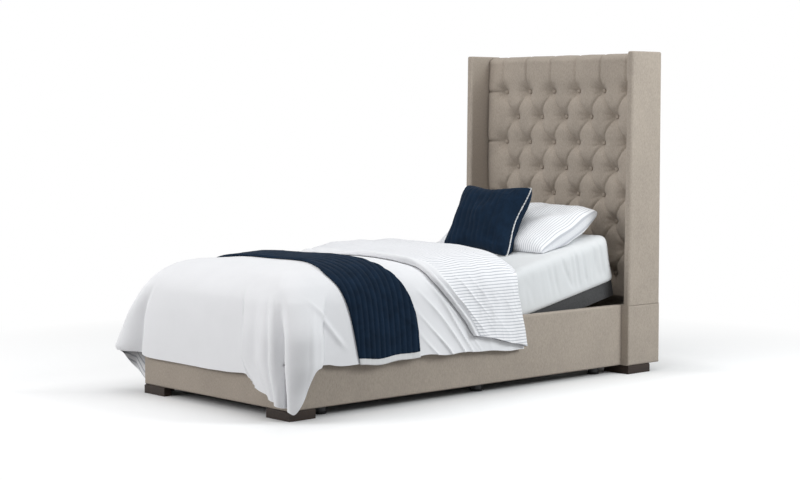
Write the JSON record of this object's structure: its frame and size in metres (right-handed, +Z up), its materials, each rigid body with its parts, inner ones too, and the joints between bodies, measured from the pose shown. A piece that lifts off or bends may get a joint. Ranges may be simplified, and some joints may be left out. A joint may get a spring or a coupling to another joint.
{
  "type": "adjustable bed",
  "caption": "Single adjustable bed with a tall buttoned wing headboard, upholstered surround, motorised base with raised head, mattress, duvet, throw and pillows.",
  "frame": {"origin": "middle of the floor area that the whole bed covers, at floor height", "axes": "+Z up, +Y towards the headboard, -Y towards the foot end, +X to the right as seen from the foot end; left and right in node names are seen from the foot end"},
  "size_m": [1.2732, 2.4545, 1.606],
  "materials": {
    "upholstery": "matte",
    "button_fabric": "matte",
    "foot_wood": "satin",
    "deck_fabric": "matte",
    "frame_steel": "satin",
    "plated_steel": "satin",
    "black_rubber": "matte",
    "bearing_plastic": "satin",
    "drive_plastic": "matte",
    "white_linen": "matte",
    "navy_quilting": "matte"
  },
  "bodies": {
    "bed_frame": {"headboard_back_board": "upholstery", "tufted_panel": "upholstery", "tuft_buttons": "button_fabric", "headboard_wing_left": "upholstery", "headboard_wing_right": "upholstery", "lower_wing_left": "upholstery", "lower_wing_right": "upholstery", "headboard_lower_panel": "upholstery", "side_rail_left": "upholstery", "side_rail_right": "upholstery", "footboard": "upholstery", "corner_feet": "foot_wood", "rail_brackets": "plated_steel", "bracket_bolts": "plated_steel", "base_side_tubes": "frame_steel", "base_cross_tubes": "frame_steel", "base_legs": "frame_steel", "leg_glides": "black_rubber", "headboard_brackets": "frame_steel", "seat_crossbars": "frame_steel", "rest_pads": "black_rubber", "seat_deck": "deck_fabric", "fixed_hinge_plates": "frame_steel", "hinge_pins": "plated_steel", "shaft_bearings": "bearing_plastic", "drive_housing": "drive_plastic", "drive_cover": "drive_plastic", "drive_spindles": "plated_steel", "drive_motors": "drive_plastic", "control_box": "drive_plastic", "mattress_seat": "white_linen", "mattress_flex_head": "white_linen", "mattress_flex_thigh": "white_linen", "duvet": "white_linen", "throw": "navy_quilting"},
    "head_section": {"head_deck": "deck_fabric", "head_frame_tubes": "frame_steel", "head_hinge_plates": "frame_steel", "mattress_head": "white_linen", "pillow": "white_linen", "scatter_cushion": "navy_quilting"},
    "head_lifter": {"head_lift_shaft": "frame_steel", "head_lift_arms": "frame_steel"},
    "head_roller_pair": {"head_rollers": "bearing_plastic"},
    "head_pusher": {"head_push_block": "bearing_plastic"},
    "thigh_section": {"thigh_deck": "deck_fabric", "thigh_frame_tubes": "frame_steel", "thigh_hinge_plates": "frame_steel", "mattress_thigh": "white_linen"},
    "calf_section": {"calf_deck": "deck_fabric", "calf_frame_tubes": "frame_steel", "calf_knee_plates": "frame_steel", "retainer_bar": "frame_steel", "mattress_calf": "white_linen"},
    "leg_lifter": {"leg_lift_shaft": "frame_steel", "leg_lift_arms": "frame_steel"},
    "leg_roller_pair": {"leg_rollers": "bearing_plastic"},
    "leg_pusher": {"leg_push_block": "bearing_plastic"},
    "calf_wheel_pair": {"calf_wheels": "bearing_plastic"}
  },
  "joints": [
    {"name": "head_lift", "type": "hinge", "parent": "bed_frame", "child": "head_section", "pos_m": [0, 0.228, 0.286], "axis": [1, 0, 0], "range_deg": [-12, 48], "deforming": ["duvet", "mattress_flex_head"]},
    {"name": "head_arm", "type": "hinge", "parent": "bed_frame", "child": "head_lifter", "pos_m": [0, 0.29399, 0.1717], "axis": [1, 0, 0], "range_deg": [-12, 48]},
    {"name": "head_roller_spin", "type": "hinge", "parent": "head_lifter", "child": "head_roller_pair", "pos_m": [0, 0.68525, 0.25487], "axis": [1, 0, 0], "continuous": true},
    {"name": "head_push", "type": "slide", "parent": "bed_frame", "child": "head_pusher", "axis": [0, 1, 0], "range_m": [-0.01634, 0.06535]},
    {"name": "leg_lift", "type": "hinge", "parent": "bed_frame", "child": "thigh_section", "pos_m": [0, -0.112, 0.286], "axis": [-1, 0, 0], "range_deg": [0, 30], "deforming": ["duvet", "throw", "mattress_flex_thigh"]},
    {"name": "knee", "type": "hinge", "parent": "thigh_section", "child": "calf_section", "pos_m": [0, -0.472, 0.24], "axis": [1, 0, 0], "range_deg": [0, 53], "deforming": ["duvet", "throw"]},
    {"name": "leg_arm", "type": "hinge", "parent": "bed_frame", "child": "leg_lifter", "pos_m": [0, -0.14263, 0.1717], "axis": [-1, 0, 0], "range_deg": [0, 30]},
    {"name": "leg_roller_spin", "type": "hinge", "parent": "leg_lifter", "child": "leg_roller_pair", "pos_m": [0, -0.40263, 0.1717], "axis": [1, 0, 0], "continuous": true},
    {"name": "leg_push", "type": "slide", "parent": "bed_frame", "child": "leg_pusher", "axis": [0, -1, 0], "range_m": [0, 0.04147]},
    {"name": "calf_wheel_spin", "type": "hinge", "parent": "calf_section", "child": "calf_wheel_pair", "pos_m": [0, -0.953, 0.2049], "axis": [1, 0, 0], "continuous": true}
  ],
  "couplings": [
    {"joint": "head_arm", "follows": "head_lift", "ratio": 1},
    {"joint": "head_push", "follows": "head_lift", "m_per_rad": 0.078},
    {"joint": "knee", "follows": "leg_lift", "ratio": 1.765},
    {"joint": "leg_arm", "follows": "leg_lift", "ratio": 1},
    {"joint": "leg_push", "follows": "leg_lift", "m_per_rad": 0.0792}
  ]
}
